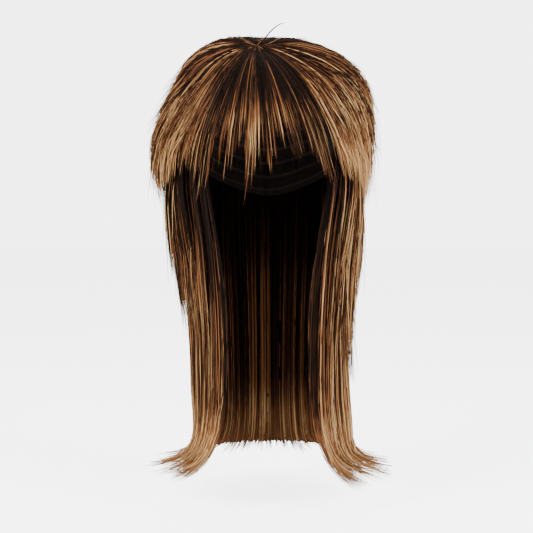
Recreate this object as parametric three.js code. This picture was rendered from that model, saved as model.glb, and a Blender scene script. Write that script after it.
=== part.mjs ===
// Long layered shag wig: a stretch-net cap that carries a crown of radiating locks, a fringe and three
// hanging tiers of locks, each tier in a right, a back and a left panel.
// Millimetres, +Z up. The front of the wig faces -Y, so the wearer's left is +X.
// The origin is the crown of the head, where it meets the inside of the cap.
// Azimuth 0 is the front, 90 the wearer's left, 180 the back and 270 the wearer's right.
import * as THREE from "three";
import { ParametricGeometry } from "three/addons/geometries/ParametricGeometry.js";
import { mergeVertices } from "three/addons/utils/BufferGeometryUtils.js";

// Head form that the cap is knitted to
const HEAD_HALF_WIDTH = 77;
const HEAD_FRONT = 95;
const HEAD_BACK = 98;
const CROWN_TO_EAR = 100; // height of the crown over the widest level
const HEAD_SQUARENESS = 2.2; // exponent of the head's upright section, 2 is an ellipse
const NAPE_TAPER = 0.1; // share by which the head narrows a crown's height below its widest level

// Cap
const CAP_WALL = 1.6;
const CAP_SIDES = 48;
const CAP_RINGS = 9;
const CAP_RIM = [
  { azimuth: 0, z: -36 },
  { azimuth: 32, z: -46 },
  { azimuth: 52, z: -88 },
  { azimuth: 66, z: -122 },
  { azimuth: 84, z: -124 },
  { azimuth: 104, z: -119 },
  { azimuth: 142, z: -137 },
  { azimuth: 180, z: -150 },
];

// Hair
const GAP = 0.6; // clearance between pieces
const DOME_SEAT = 1.9; // how far the inside of the crown and the fringe lies off the cap
const WHORL = { azimuth: -14, elevation: 62 }; // where the crown's locks start, as a direction on the head
const WHORL_SHARE = 0.02; // share of a crown lock's run that is left open round the whorl
const FALL = { from: 85, to: 150 }; // degrees from the front between which locks come to fall straight
const HEM_TAPER = 3; // power of the thinning towards the tips
const NOTCH_VARIES = 0.45; // share by which the partings differ in length

// How far the crown's outside stands off the cap, by elevation over the widest level
const CROWN_LIFT = [
  { elevation: -45, front: 14, left: 25, back: 34, right: 34 },
  { elevation: -20, front: 14, left: 28, back: 37, right: 40 },
  { elevation: 0, front: 14, left: 33.5, back: 39, right: 46 },
  { elevation: 15, front: 14, left: 38, back: 40, right: 41 },
  { elevation: 30, front: 15, left: 41, back: 39, right: 36 },
  { elevation: 45, front: 16, left: 35, back: 36, right: 36 },
  { elevation: 60, front: 17, left: 26, back: 30, right: 31 },
  { elevation: 90, front: 18, left: 18, back: 18, right: 18 },
];

// Where the tips of the crown's and the fringe's locks come to, and how many degrees they swing sideways
const CROWN_HEM = [
  { azimuth: 50, z: -108, swing: 0 },
  { azimuth: 75, z: -122, swing: 0 },
  { azimuth: 100, z: -140, swing: 0 },
  { azimuth: 180, z: -168, swing: 0 },
  { azimuth: 262, z: -130, swing: 0 },
  { azimuth: 290, z: -114, swing: 0 },
  { azimuth: 310, z: -104, swing: 0 },
];
const FRINGE_HEM = [
  { azimuth: -50, z: -140, swing: 0 },
  { azimuth: -43, z: -128, swing: 0 },
  { azimuth: -32, z: -100, swing: -1 },
  { azimuth: -17, z: -90, swing: -1 },
  { azimuth: -6.7, z: -150, swing: -8 },
  { azimuth: 2, z: -94, swing: -3 },
  { azimuth: 18, z: -86, swing: 1 },
  { azimuth: 32, z: -104, swing: 1 },
  { azimuth: 43, z: -130, swing: 0 },
  { azimuth: 50, z: -140, swing: 0 },
];
const CROWN = { locks: 38, rows: 11, ridge: 2.2, notch: 0.16, ragged: 0.05, seatedTo: 0.42, hollow: 0.84 };
const FRINGE = { locks: 15, rows: 9, ridge: 1.2, notch: 0.26, ragged: 0.07, seatedTo: 0.4, hollow: 0.72 };

// Hanging tiers, inner to outer. A station is a level of the tier from its sewn root to its tips: its height,
// how far the outside stands off the head form at the front edge, the sides and the back, its thickness, how
// much thicker it is beside the neck, and how many degrees the front edge drifts forward.
const PANELS = [
  { side: "left", from: null, to: 127 },
  { side: "back", from: 127, to: 233 },
  { side: "right", from: 233, to: null },
];
const SIDE_AZIMUTH = 96; // where a tier is at its widest
const BESIDE_NECK = { from: 52, full: 78, fading: 98, to: 127 }; // azimuths where the hair is thicker
const STATION_COLUMNS = ["z", "edge", "left", "back", "right", "thick", "plump", "drift"];
const TIERS = [
  {
    name: "long",
    frontEdge: 60,
    locks: { left: 7, back: 10, right: 7 },
    rows: 11,
    ridge: 1.3,
    notch: 0.11,
    ragged: 0.025,
    reach: { edge: 0.97, left: 1, back: 1, right: 1 },
    stations: [
      { z: -98, edge: 5.8, left: 5.8, back: 5.8, right: 5.8, thick: 5, plump: 0, drift: 0 },
      { z: -114, edge: 5.8, left: 7, back: 6, right: 7, thick: 5, plump: 0, drift: 0 },
      { z: -150, edge: 3, left: 10, back: 7, right: 13, thick: 6, plump: 0, drift: 1 },
      { z: -200, edge: -3, left: 11.8, back: 5, right: 17, thick: 7, plump: 11, drift: 3 },
      { z: -250, edge: -7, left: 11.3, back: 1, right: 13.5, thick: 7, plump: 19, drift: 4 },
      { z: -310, edge: -9, left: 9, back: -3, right: 8.5, thick: 7, plump: 20, drift: 5 },
      { z: -372, edge: -9, left: 12.5, back: -5, right: 6.5, thick: 7, plump: 15, drift: 5 },
      { z: -408, edge: -5, left: 15.5, back: -4, right: 3.5, thick: 6, plump: 8, drift: 3 },
      { z: -432, edge: 2, left: 18, back: 0, right: 9, thick: 5, plump: 2, drift: -1 },
      { z: -447, edge: 12, left: 34, back: 6, right: 26, thick: 4.5, plump: 0, drift: -7 },
      { z: -458, edge: 27, left: 62, back: 16, right: 50, thick: 4, plump: 0, drift: -14 },
    ],
  },
  {
    name: "lower",
    frontEdge: 64,
    locks: { left: 7, back: 10, right: 7 },
    rows: 8,
    ridge: 1.5,
    notch: 0.16,
    ragged: 0.05,
    reach: { edge: 0.92, left: 1, back: 0.96, right: 0.84 },
    stations: [
      { z: -80, edge: 5.8, left: 5.8, back: 5.8, right: 5.8, thick: 5, drift: 0 },
      { z: -94, edge: 12.5, left: 13, back: 13, right: 13, thick: 4.5, drift: 0 },
      { z: -115, edge: 12.5, left: 14.5, back: 15.5, right: 16, thick: 5, drift: 0 },
      { z: -150, edge: 11, left: 18, back: 16.5, right: 21.5, thick: 5.5, drift: 1 },
      { z: -200, edge: 4.5, left: 19.5, back: 14, right: 25, thick: 5.5, drift: 3 },
      { z: -250, edge: 0.5, left: 19, back: 10, right: 21.5, thick: 5.5, drift: 4 },
      { z: -300, edge: -1.5, left: 16, back: 6.5, right: 17, thick: 5.5, drift: 5 },
      { z: -356, edge: -1.5, left: 19, back: 5, right: 14, thick: 5, drift: 5 },
    ],
  },
  {
    name: "upper",
    frontEdge: 68,
    locks: { left: 7, back: 10, right: 7 },
    rows: 8,
    ridge: 1.6,
    notch: 0.18,
    ragged: 0.06,
    reach: { edge: 0.86, left: 1, back: 0.98, right: 0.88 },
    stations: [
      { z: -60, edge: 5.8, left: 5.8, back: 5.8, right: 5.8, thick: 5, drift: 0 },
      { z: -76, edge: 12.5, left: 13, back: 13, right: 13.5, thick: 4.5, drift: 0 },
      { z: -95, edge: 20, left: 20, back: 22, right: 22.5, thick: 4.5, drift: 0 },
      { z: -120, edge: 20, left: 22.5, back: 25, right: 30.5, thick: 4.5, drift: 0 },
      { z: -150, edge: 19, left: 25.5, back: 26, right: 35, thick: 4.5, drift: 1 },
      { z: -190, edge: 14, left: 27, back: 24, right: 34, thick: 5, drift: 2.5 },
      { z: -230, edge: 9.5, left: 26, back: 20, right: 31.5, thick: 5, drift: 3.5 },
      { z: -262, edge: 8, left: 25, back: 17, right: 30, thick: 5, drift: 4 },
    ],
  },
];

const capNet = new THREE.MeshStandardMaterial({ color: 0x2a1d17, roughness: 0.9, metalness: 0 });
const brownHair = new THREE.MeshStandardMaterial({ color: 0x6a4228, roughness: 0.45, metalness: 0 });

const JOINED = 1e-3; // corners nearer than this are one

const radians = THREE.MathUtils.degToRad;
const degrees = THREE.MathUtils.radToDeg;

// A smooth curve through a table, level at both ends: rows are keyed by one column, or by their number, and
// give the others. A value that a row leaves out is 0.
function tableCurve(rows, key, columns) {
  const at = rows.map((row, number) => (key ? row[key] : number));
  const values = rows.flatMap((row) => columns.map((column) => row[column] ?? 0));
  const curve = new THREE.CubicInterpolant(at, values, columns.length, new Float64Array(columns.length));
  if (key) curve.settings = { endingStart: THREE.ZeroSlopeEnding, endingEnd: THREE.ZeroSlopeEnding };
  return (where) => {
    const found = curve.evaluate(THREE.MathUtils.clamp(where, at[0], at[at.length - 1]));
    return Object.fromEntries(columns.map((column, i) => [column, found[i]]));
  };
}

// A repeatable spread from -1 to 1 for lock number i, so that no two locks are cut alike.
function spread(i, salt) {
  const wave = Math.sin(i * 12.9898 + salt * 78.233) * 43758.5453;
  return 2 * (wave - Math.floor(wave)) - 1;
}

// The head form's point in a direction, grown by some millimetres. Below the widest level it runs straight
// down.
function headPoint(azimuth, elevation, grow) {
  const rise = Math.sin(radians(elevation));
  const inset = rise > 0 ? (1 - rise ** HEAD_SQUARENESS) ** (1 / HEAD_SQUARENESS) : 1;
  const turn = radians(azimuth);
  const depth = Math.cos(turn) > 0 ? HEAD_FRONT : HEAD_BACK;
  return new THREE.Vector3(
    (HEAD_HALF_WIDTH + grow) * inset * Math.sin(turn),
    -(depth + grow) * inset * Math.cos(turn),
    (CROWN_TO_EAR + grow) * rise - CROWN_TO_EAR,
  );
}

// Degrees that an azimuth is turned from the front, to either side.
function fromFront(azimuth) {
  return 180 - Math.abs(180 - Math.abs(azimuth));
}

function elevationOf(z, grow) {
  return degrees(Math.asin(THREE.MathUtils.clamp((z + CROWN_TO_EAR) / (CROWN_TO_EAR + grow), -1, 1)));
}

function direction(azimuth, elevation) {
  const level = Math.cos(radians(elevation));
  return new THREE.Vector3(
    level * Math.sin(radians(azimuth)),
    -level * Math.cos(radians(azimuth)),
    Math.sin(radians(elevation)),
  );
}

// A closed solid from a surface that meets itself: shared corners are joined, collapsed triangles dropped and
// the faces turned outwards.
function solid(surface) {
  surface.deleteAttribute("normal");
  surface.deleteAttribute("uv");
  const joined = mergeVertices(surface, JOINED);
  const corners = joined.index.array;
  const place = (i) => new THREE.Vector3().fromBufferAttribute(joined.attributes.position, corners[i]);
  const kept = [];
  let volume = 0;
  for (let i = 0; i < corners.length; i += 3) {
    const [a, b, c] = corners.slice(i, i + 3);
    if (a === b || b === c || c === a) continue;
    kept.push([a, b, c]);
    volume += place(i).dot(place(i + 1).cross(place(i + 2)));
  }
  joined.setIndex(kept.flatMap(([a, b, c]) => (volume < 0 ? [a, c, b] : [a, b, c])));
  return joined;
}

function piece(name, geometry, material) {
  const mesh = new THREE.Mesh(geometry, material);
  mesh.name = name;
  return mesh;
}

// Cap: its section runs from the crown down the inside, round the rim and back up the outside.
function makeCap() {
  const rim = tableCurve(CAP_RIM, "azimuth", ["z"]);
  const loop = 2 * CAP_RINGS + 1;
  const geometry = new ParametricGeometry(
    (u, v, target) => {
      const azimuth = 360 * u;
      const step = Math.round(v * loop);
      const outside = step > CAP_RINGS;
      const ring = outside ? loop - step : step;
      const grow = outside ? CAP_WALL : 0;
      const lowest = elevationOf(rim(fromFront(azimuth)).z, 0);
      const elevation = 90 + (lowest - 90) * (ring / CAP_RINGS);
      target.copy(headPoint(azimuth, elevation, grow));
      if (elevation < 0) {
        const below = Math.sin(radians(elevation));
        target.x *= 1 - NAPE_TAPER * below ** 2;
        target.y *= 1 - NAPE_TAPER * below ** 2;
      }
    },
    CAP_SIDES,
    loop,
  );
  return piece("cap", solid(geometry), capNet);
}

// A sheet of locks. Its columns alternate between the parting beside a lock and the lock's ridge, and its
// section runs from the tips up the inside, over the root and down the outside to the tips again.
function lockSheet(locks, rows, place) {
  const columns = 2 * locks;
  const loop = 2 * rows + 1;
  const geometry = new ParametricGeometry(
    (u, v, target) => {
      const column = Math.round(u * columns);
      const step = Math.round(v * loop);
      const outside = step > rows;
      const row = outside ? step - rows - 1 : rows - step;
      target.copy(place(column, row / rows, outside));
    },
    columns,
    loop,
  );
  // Each square is folded from its ridge to the tip side of its parting, on the inside as on the outside, so
  // that the two walls of a thin lock don't cross.
  const corners = [];
  for (let step = 0; step < loop; step += 1) {
    for (let column = 0; column < columns; column += 1) {
      const a = step * (columns + 1) + column;
      const [b, c, d] = [a + 1, a + columns + 2, a + columns + 1];
      const ridgeAhead = column % 2 === 0;
      const inside = step < rows;
      corners.push(...(ridgeAhead === inside ? [a, b, c, a, c, d] : [a, b, d, b, c, d]));
    }
  }
  geometry.setIndex(corners);
  return solid(geometry);
}

// How far a column of a lock sheet runs, as a share of the whole: partings stop short of the tips.
function runOf(column, cut, salt) {
  if (column % 2) return 1 - cut.ragged + cut.ragged * spread(column, salt);
  return 1 - cut.ragged - cut.notch * (1 + NOTCH_VARIES * spread(column, salt));
}

// Thickness left at a share of a column's run: full near the root, nothing at the tip or at the sheet's
// sides.
function fullness(column, columns, share) {
  return column === 0 || column === columns ? 0 : 1 - share ** HEM_TAPER;
}

function crownLift(liftAt, azimuth, elevation) {
  const lift = liftAt(elevation);
  const across = Math.sin(radians(azimuth)) ** 2;
  const side = Math.sin(radians(azimuth)) > 0 ? lift.left : lift.right;
  const end = Math.cos(radians(azimuth)) > 0 ? lift.front : lift.back;
  return across * side + (1 - across) * end;
}

// The direction, from the head's middle, of a lock at a share of its way from the whorl to its tip. At the
// front and the sides it takes the shortest way. Towards the back it comes over the top of the head and
// falls straight.
function lockWay(azimuth, elevation, share) {
  const start = direction(WHORL.azimuth, WHORL.elevation);
  const end = direction(azimuth, elevation);
  const axis = new THREE.Vector3().crossVectors(start, end).normalize();
  const shortest = start.clone().applyAxisAngle(axis, start.angleTo(end) * share);
  const lean = new THREE.Vector3(0, 0, 1).cross(start).normalize();
  const straight = direction(azimuth, 90 + (elevation - 90) * share);
  straight.applyAxisAngle(lean, radians(90 - WHORL.elevation) * (1 - share));
  const falling = THREE.MathUtils.smoothstep(fromFront(azimuth), FALL.from, FALL.to);
  return shortest.lerp(straight, falling).normalize();
}

// Locks that run from the whorl over the dome of the head to a hem: the crown or the fringe.
function makeDome(name, cut, hemTable, salt) {
  const hem = tableCurve(hemTable, "azimuth", ["z", "swing"]);
  const liftAt = tableCurve(CROWN_LIFT, "elevation", ["front", "left", "back", "right"]);
  const from = hemTable[0].azimuth;
  const to = hemTable[hemTable.length - 1].azimuth;
  const columns = 2 * cut.locks;

  const place = (column, rowShare, outside) => {
    const run = runOf(column, cut, salt);
    const share = WHORL_SHARE + (run - WHORL_SHARE) * rowShare;
    const middle = (from + to) / 2;
    const clear = degrees(GAP / (HEAD_HALF_WIDTH * Math.sin(radians(90 * share))));
    const half = (to - from) / 2 - clear;
    const azimuth = middle + half * ((2 * column) / columns - 1);
    const tip = hem(azimuth);
    const way = lockWay(azimuth + tip.swing * share ** 2, elevationOf(tip.z, CAP_WALL), share);
    const bearing = degrees(Math.atan2(way.x, -way.y));
    const elevation = degrees(Math.asin(way.z));
    const ridge = cut.ridge * (column % 2 ? 1 : -1) * share;
    const lift = crownLift(liftAt, bearing, elevation) + ridge;
    const rising = THREE.MathUtils.smoothstep(share, cut.seatedTo, 1);
    const seat = DOME_SEAT + (lift - DOME_SEAT) * cut.hollow * rising;
    const full = fullness(column, columns, rowShare);
    const height = outside ? lift : lift + (seat - lift) * full;
    return headPoint(bearing, elevation, CAP_WALL + height);
  };
  return piece(name, lockSheet(cut.locks, cut.rows, place), brownHair);
}

// How much of its extra thickness beside the neck a tier has at an azimuth, from 0 to 1.
function besideNeck(azimuth) {
  const turned = fromFront(azimuth);
  const thickening = THREE.MathUtils.smoothstep(turned, BESIDE_NECK.from, BESIDE_NECK.full);
  const thinning = THREE.MathUtils.smoothstep(turned, BESIDE_NECK.fading, BESIDE_NECK.to);
  return thickening * (1 - thinning);
}

// One panel of a hanging tier, between two azimuths.
function makePanel(tier, panel, salt) {
  const stationAt = tableCurve(tier.stations, null, STATION_COLUMNS);
  const last = tier.stations.length - 1;
  const edgeGap = degrees(GAP / HEAD_HALF_WIDTH);
  const from = (panel.from ?? tier.frontEdge) + edgeGap;
  const to = (panel.to ?? 360 - tier.frontEdge) - edgeGap;
  const locks = tier.locks[panel.side];
  const columns = 2 * locks;

  // The value of a table row at an azimuth, eased from the front edge to the side and on to the back
  const round = (row, azimuth) => {
    const turned = fromFront(azimuth);
    const side = azimuth > 180 ? row.right : row.left;
    const toSide = THREE.MathUtils.smoothstep(turned, tier.frontEdge, SIDE_AZIMUTH);
    const toBack = THREE.MathUtils.smoothstep(turned, SIDE_AZIMUTH, 180);
    return toBack > 0 ? side + (row.back - side) * toBack : row.edge + (side - row.edge) * toSide;
  };

  const place = (column, rowShare, outside) => {
    const across = column / columns;
    const azimuth = from + (to - from) * across;
    const share = runOf(column, tier, salt) * round(tier.reach, azimuth) * rowShare;
    const station = stationAt(share * last);
    const drift = { left: across - 1, back: 0, right: across }[panel.side] * station.drift;
    const ridge = tier.ridge * (column % 2 ? 1 : -1) * Math.min(1, 2 * share);
    const whole = station.thick + station.plump * besideNeck(azimuth);
    const thick = whole * fullness(column, columns, rowShare);
    const outer = round(station, azimuth) + ridge;
    const height = outside || thick === 0 ? outer : outer - ridge - thick;
    const elevation = Math.max(0, elevationOf(station.z, CAP_WALL));
    return headPoint(azimuth + drift, elevation, CAP_WALL + height).setZ(station.z);
  };
  return piece(`${tier.name}_hair_${panel.side}`, lockSheet(locks, tier.rows, place), brownHair);
}

const wig = new THREE.Group();
wig.add(makeCap());
wig.add(makeDome("crown_hair", CROWN, CROWN_HEM, 1));
wig.add(makeDome("fringe", FRINGE, FRINGE_HEM, 2));
TIERS.forEach((tier, t) => {
  PANELS.forEach((panel, p) => wig.add(makePanel(tier, panel, 3 + 3 * t + p)));
});

export default wig;
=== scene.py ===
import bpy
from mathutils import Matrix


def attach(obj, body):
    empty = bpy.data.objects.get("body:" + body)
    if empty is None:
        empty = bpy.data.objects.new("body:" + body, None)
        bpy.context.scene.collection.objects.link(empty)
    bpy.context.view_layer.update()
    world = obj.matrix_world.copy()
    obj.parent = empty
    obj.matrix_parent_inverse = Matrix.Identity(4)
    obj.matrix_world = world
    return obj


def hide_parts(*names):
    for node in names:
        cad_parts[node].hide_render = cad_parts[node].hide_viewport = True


bl_info = {
    "name": "Long layered wig",
    "version": (1, 0, 0),
    "blender": (4, 5, 0),
    "location": "View3D > Sidebar > Wig",
    "description": "Dresses the wig's frame with a net cap, combed locks and loose strands",
    "category": "Add Mesh",
}

import bmesh
import bpy
import numpy as np
from bpy.props import FloatProperty, FloatVectorProperty, IntProperty, PointerProperty
from mathutils import Vector

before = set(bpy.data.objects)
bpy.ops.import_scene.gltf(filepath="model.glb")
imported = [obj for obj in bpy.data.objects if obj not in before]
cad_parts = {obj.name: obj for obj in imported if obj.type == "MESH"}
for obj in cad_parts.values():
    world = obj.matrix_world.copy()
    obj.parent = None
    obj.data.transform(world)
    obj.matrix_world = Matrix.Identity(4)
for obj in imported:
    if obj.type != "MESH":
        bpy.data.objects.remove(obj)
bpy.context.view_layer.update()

# Shapes below are worked out in millimetres, in the frame of the cap and the locks.
# Azimuth 0 is the front, 90 the wearer's left, 180 the back and 270 the wearer's right.
MM = 0.001

# Head form that the cap is knitted to
HEAD_HALF_WIDTH = 77.0
HEAD_FRONT = 95.0
HEAD_BACK = 98.0
CROWN_TO_EAR = 100.0
HEAD_SQUARENESS = 2.2
NAPE_TAPER = 0.1
CAP_WALL = 1.6
CAP_POLE = 1e-4
CAP_SEAM = 0.25
CAP_RIM = {
    "azimuth": (0, 32, 52, 66, 84, 104, 142, 180),
    "z": (-36, -46, -88, -122, -124, -119, -137, -150),
}

# Crown and fringe: where their locks start, how far they stand off the cap and where their tips come to
WHORL = {"azimuth": -14.0, "elevation": 62.0}
WHORL_SHARE = 0.02
FALL = {"from": 85.0, "to": 150.0}
DOME_SEAT = 1.9
DOME_HOLLOW = 0.84
HOLLOWING = (0.42, 1.0)
CROWN_LIFT = {
    "elevation": (-45, -20, 0, 15, 30, 45, 60, 90),
    "front": (14, 14, 14, 14, 15, 16, 17, 18),
    "left": (25, 28, 33.5, 38, 41, 35, 26, 18),
    "back": (34, 37, 39, 40, 39, 36, 30, 18),
    "right": (34, 40, 46, 41, 36, 36, 31, 18),
}
CROWN_HEM = {
    "azimuth": (50, 75, 100, 180, 262, 290, 310),
    "z": (-108, -122, -140, -168, -130, -114, -104),
    "swing": (0, 0, 0, 0, 0, 0, 0),
}
FRINGE_HEM = {
    "azimuth": (-50, -43, -32, -17, -6.7, 2, 18, 32, 43, 50),
    "z": (-140, -128, -100, -90, -150, -94, -86, -104, -130, -140),
    "swing": (0, 0, -1, -1, -8, -3, 1, 1, 0, 0),
}

# Where the fringe's thin strands come to: the long lock is narrow
FRINGE_TIPS = {
    "azimuth": (-52, -43, -32, -17, -10.5, -6.7, -3, 2, 18, 32, 43, 52),
    "z": (-150, -140, -120, -114, -120, -158, -120, -114, -110, -120, -140, -150),
    "swing": (0, 0, -1, -1, -3, -9, -3, -2, 1, 1, 0, 0),
}

LONG_LOCK = {"azimuth": -6.7, "edges": (2.0, 5.0)}
TEMPLES = (20.0, 50.0)

# Where the sides of the crown bulge most
BULGE = {"from": 72.0, "full": 88.0, "fading": 118.0, "to": 140.0}

# Hanging tiers, from the sewn root to the tips: height, stand-off at the front edge, the sides and
# the back, thickness, added thickness beside the neck and forward drift of the front edge
SIDE_AZIMUTH = 96.0
BESIDE_NECK = {"from": 52.0, "full": 78.0, "fading": 98.0, "to": 127.0}
PANEL_SPLIT = 127.0
FURTHEST = 61.0
PAST_TIPS = 0.25
TIERS = {
    "long": {
        "front_edge": 60.0,
        "reach": {"edge": 0.97, "left": 1.0, "back": 1.0, "right": 1.0},
        "z": (-98, -114, -150, -200, -250, -310, -372, -408, -432, -447, -458),
        "edge": (5.8, 5.8, 3, -3, -7, -9, -9, -5, 2, 12, 27),
        "left": (5.8, 7, 10, 11.8, 11.3, 9, 12.5, 15.5, 18, 34, 62),
        "back": (5.8, 6, 7, 5, 1, -3, -5, -4, 0, 6, 16),
        "right": (5.8, 7, 13, 17, 13.5, 8.5, 6.5, 3.5, 9, 26, 50),
        "thick": (5, 5, 6, 7, 7, 7, 7, 6, 5, 4.5, 4),
        "plump": (0, 0, 0, 11, 19, 20, 15, 8, 2, 0, 0),
        "drift": (0, 0, 1, 3, 4, 5, 5, 3, -1, -7, -14),
    },
    "lower": {
        "front_edge": 64.0,
        "reach": {"edge": 0.92, "left": 1.0, "back": 0.96, "right": 0.84},
        "z": (-80, -94, -115, -150, -200, -250, -300, -356),
        "edge": (5.8, 12.5, 12.5, 11, 4.5, 0.5, -1.5, -1.5),
        "left": (5.8, 13, 14.5, 18, 19.5, 19, 16, 19),
        "back": (5.8, 13, 15.5, 16.5, 14, 10, 6.5, 5),
        "right": (5.8, 13, 16, 21.5, 25, 21.5, 17, 14),
        "thick": (5, 4.5, 5, 5.5, 5.5, 5.5, 5.5, 5),
        "plump": (0, 0, 0, 0, 0, 0, 0, 0),
        "drift": (0, 0, 0, 1, 3, 4, 5, 5),
    },
    "upper": {
        "front_edge": 68.0,
        "reach": {"edge": 0.86, "left": 1.0, "back": 0.98, "right": 0.88},
        "z": (-60, -76, -95, -120, -150, -190, -230, -262),
        "edge": (5.8, 12.5, 20, 20, 19, 14, 9.5, 8),
        "left": (5.8, 13, 20, 22.5, 25.5, 27, 26, 25),
        "back": (5.8, 13, 22, 25, 26, 24, 20, 17),
        "right": (5.8, 13.5, 22.5, 30.5, 35, 34, 31.5, 30),
        "thick": (5, 4.5, 4.5, 4.5, 4.5, 5, 5, 5),
        "plump": (0, 0, 0, 0, 0, 0, 0, 0),
        "drift": (0, 0, 0, 0, 1, 2.5, 3.5, 4),
    },
}

# Shades of hair: how common each is among the locks, its place on the colour ramp and how much it varies
SHADES = {
    "share": (0.44, 0.25, 0.18, 0.13),
    "tone": (0.05, 0.35, 0.64, 0.94),
    "vary": (0.05, 0.06, 0.06, 0.05),
}
SIDE_VARY = 0.04
TONE_COLUMNS = 64
# How much lighter each tier's panels are, side by side. The upper tier's left panel is made lighter as
# painted light, for the light that falls on that side.
LIGHTER = {
    "long": {"left": -0.1, "back": 0.0, "right": 0.03},
    "lower": {"left": -0.1, "back": 0.0, "right": 0.0},
    "upper": {"left": 0.1, "back": 0.04, "right": -0.02},
}

# How far past its dark roots the hair is where each side's panels start; a lower value leaves the top of
# a panel darker, which also paints the shade under the crown's hem
PAST_ROOTS_AND_SHADE = {"left": 0.3, "back": 0.08, "right": 0.0}

# A strand's cross-section: width at the root, where it is full, how it tapers, and its ridge and feet
ROOT_WIDTH = 0.3
FULL_WIDTH_FROM = 0.18
TAPER = (4.5, 0.8)
RIDGE = 0.75
FEET = 0.35
COLUMN_SPOTS = (0.15, 0.5, 0.85)
REACH_LIMITS = (0.004, 0.996)
FEWEST_LOCKS = 8
NOTCH_VARY = 0.45

# Strands of the crown and the fringe: ends and starts are shares of the run from the whorl to the
# hem, and depths are under the outside of the hair
DOME = {
    "lock_end": 1.02,
    "lock_uneven": 0.03,
    "strand_uneven": 0.035,
    "whorl_start": 0.045,
    "layer_start": 0.05,
    "shortest": 0.2,
    "past_hem": 0.35,
    "past_hem_from": 0.95,
    "longest": 1.18,
    "short_stand": (0.3, 1.0),
    "strand_depth": (-0.5, 0.9),
    "depth_at_root": 0.3,
    "deepening": (0.1, 0.8),
    "flick_most": 1.05,
    "no_flick_past": 0.02,
    "feathering": (0.55, 1.0),
    "light_reach": (0.36, 0.54),
    "light_from": (0.04, 0.16),
    "light_above": 1.3,
    "own_tip": 0.1,
    "closest": 0.6,
    "width": (0.5, 1.2),
    "closing": 1.3,
    "waves": 5,
}
CROWN_BODY = {
    "locks": 84,
    "rows": 22,
    "seed": 11,
    "notch": 0.15,
    "ragged": 0.05,
    "length": 0.95,
    "ridge": 1.2,
    "under": 3.2,
}
CROWN_CUT = {
    "per_lock": 4,
    "together": 0.12,
    "short_ends": (0.55, 0.98),
    "stray": 1.6,
    "ragged": 0.36,
    "thinning": 1.4,
    "longer": 0.22,
    "beside": 0.0,
    "long_lock": 0.0,
    "lighter": 0.13,
    "gather": 0.45,
    "deep": 2.4,
    "flick": 10.0,
    "feather": 7.0,
    "latest": 0.62,
    "spread": 2.2,
    "sway": 0.55,
    "width": 0.95,
}
CROWN_SIDES = {
    "left": {"span": (46, 181), "seed": 21, "fades": 1.04, "slow": 1.15, "light_roots": 0.06},
    "right": {"span": (179, 314), "seed": 23, "fades": 0.85, "slow": 0.88, "light_roots": 0.17},
}
CROWN_LAYERS = {
    "strands": {
        "amount": 0.8,
        "rings": 16,
        "from_whorl": 1.0,
        "short": 0.0,
        "short_at_sides": 0.0,
        "root_depth": 1.5,
        "emerging": 0.1,
    },
    "layers": {
        "amount": 1.0,
        "rings": 12,
        "from_whorl": 0.0,
        "short": 0.08,
        "short_at_sides": 0.09,
        "root_depth": 2.5,
        "emerging": 0.4,
        "light_roots": 0.03,
    },
}
FRINGE_BODY = {
    "locks": 36,
    "rows": 16,
    "seed": 12,
    "notch": 0.2,
    "ragged": 0.08,
    "length": 0.52,
    "ridge": 0.8,
    "under": 2.4,
}
FRINGE_CUT = {
    "span": (-52, 52),
    "seed": 23,
    "rings": 9,
    "per_lock": 4,
    "together": 0.15,
    "short": 0.0,
    "short_at_sides": 0.0,
    "short_ends": (0.5, 0.9),
    "emerging": 0.15,
    "stray": 1.4,
    "ragged": 0.5,
    "thinning": 0.75,
    "longer": 0.0,
    "slow": 1.4,
    "beside": 0.14,
    "long_lock": 0.35,
    "light_roots": 0.03,
    "gather": 0.3,
    "fades": 0.95,
    "deep": 2.4,
    "flick": 1.0,
    "feather": 3.0,
    "from_whorl": 0.6,
    "latest": 0.35,
    "spread": 1.8,
    "sway": 0.45,
    "root_depth": 0.5,
    "width": 0.72,
    "lighter": -0.12,
}

# Combed bodies of the hanging panels
PANEL_BODY = {
    "locks": 26,
    "rows": 15,
    "length": 0.92,
    "inset": 3.0,
    "ridge": 0.7,
    "under": 2.4,
    "sinking": (0.02, 0.1),
    "above_inside": 0.5,
    "thinnest": 0.8,
}
PANEL_NOTCH = {
    "left": {"notch": 0.055, "ragged": 0.04},
    "back": {"notch": 0.02, "ragged": 0.02},
    "right": {"notch": 0.055, "ragged": 0.04},
}

# Strands of the hanging panels: ends and starts are shares of the run from the root to the tips
PANEL = {
    "lock_end": 1.03,
    "lock_uneven": 0.02,
    "lowest": {"left": -1.4, "back": -0.6, "right": -0.6},
    "highest": 1.0,
    "short_ends": (0.5, 1.0),
    "short_stand": (0.2, 1.0),
    # painted shade: how much darker the strands on a panel's inner face are made
    "painted_shade_within": 0.3,
    "latest": 0.1,
    "strand_uneven": 0.03,
    "closing": 1.6,
    "waves": 6,
    "edge_width": 3.2,
    "face_width": 14.0,
    "within_to_face": 0.6,
    "overhang": 1.5,
    "strand_depth": (-0.5, 0.7),
    "feathering": (0.45, 1.0),
    "flaring": (0.88, 1.05),
    "root_under": 2.0,
    "surfacing": (0.0, 0.12),
    "within_gap": 0.6,
    "within_depth": 4.0,
    "width": (0.55, 1.2),
    "own_tip": 0.16,
}
TUCKING = (0.72, 1.05)
HANGING_LENGTH = 340.0
LIGHT_ENDS = 0.72
SHORT_TIER = {
    "rings": 10,
    "flare": 0.0,
    "per_lock": 5,
    "gather": 0.5,
    "ragged": 0.14,
    "short": 0.3,
    "rise": 0.0,
    "flick": 3.0,
    "feather": 2.6,
    "lighter": -0.03,
    "within": 0.1,
}
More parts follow.
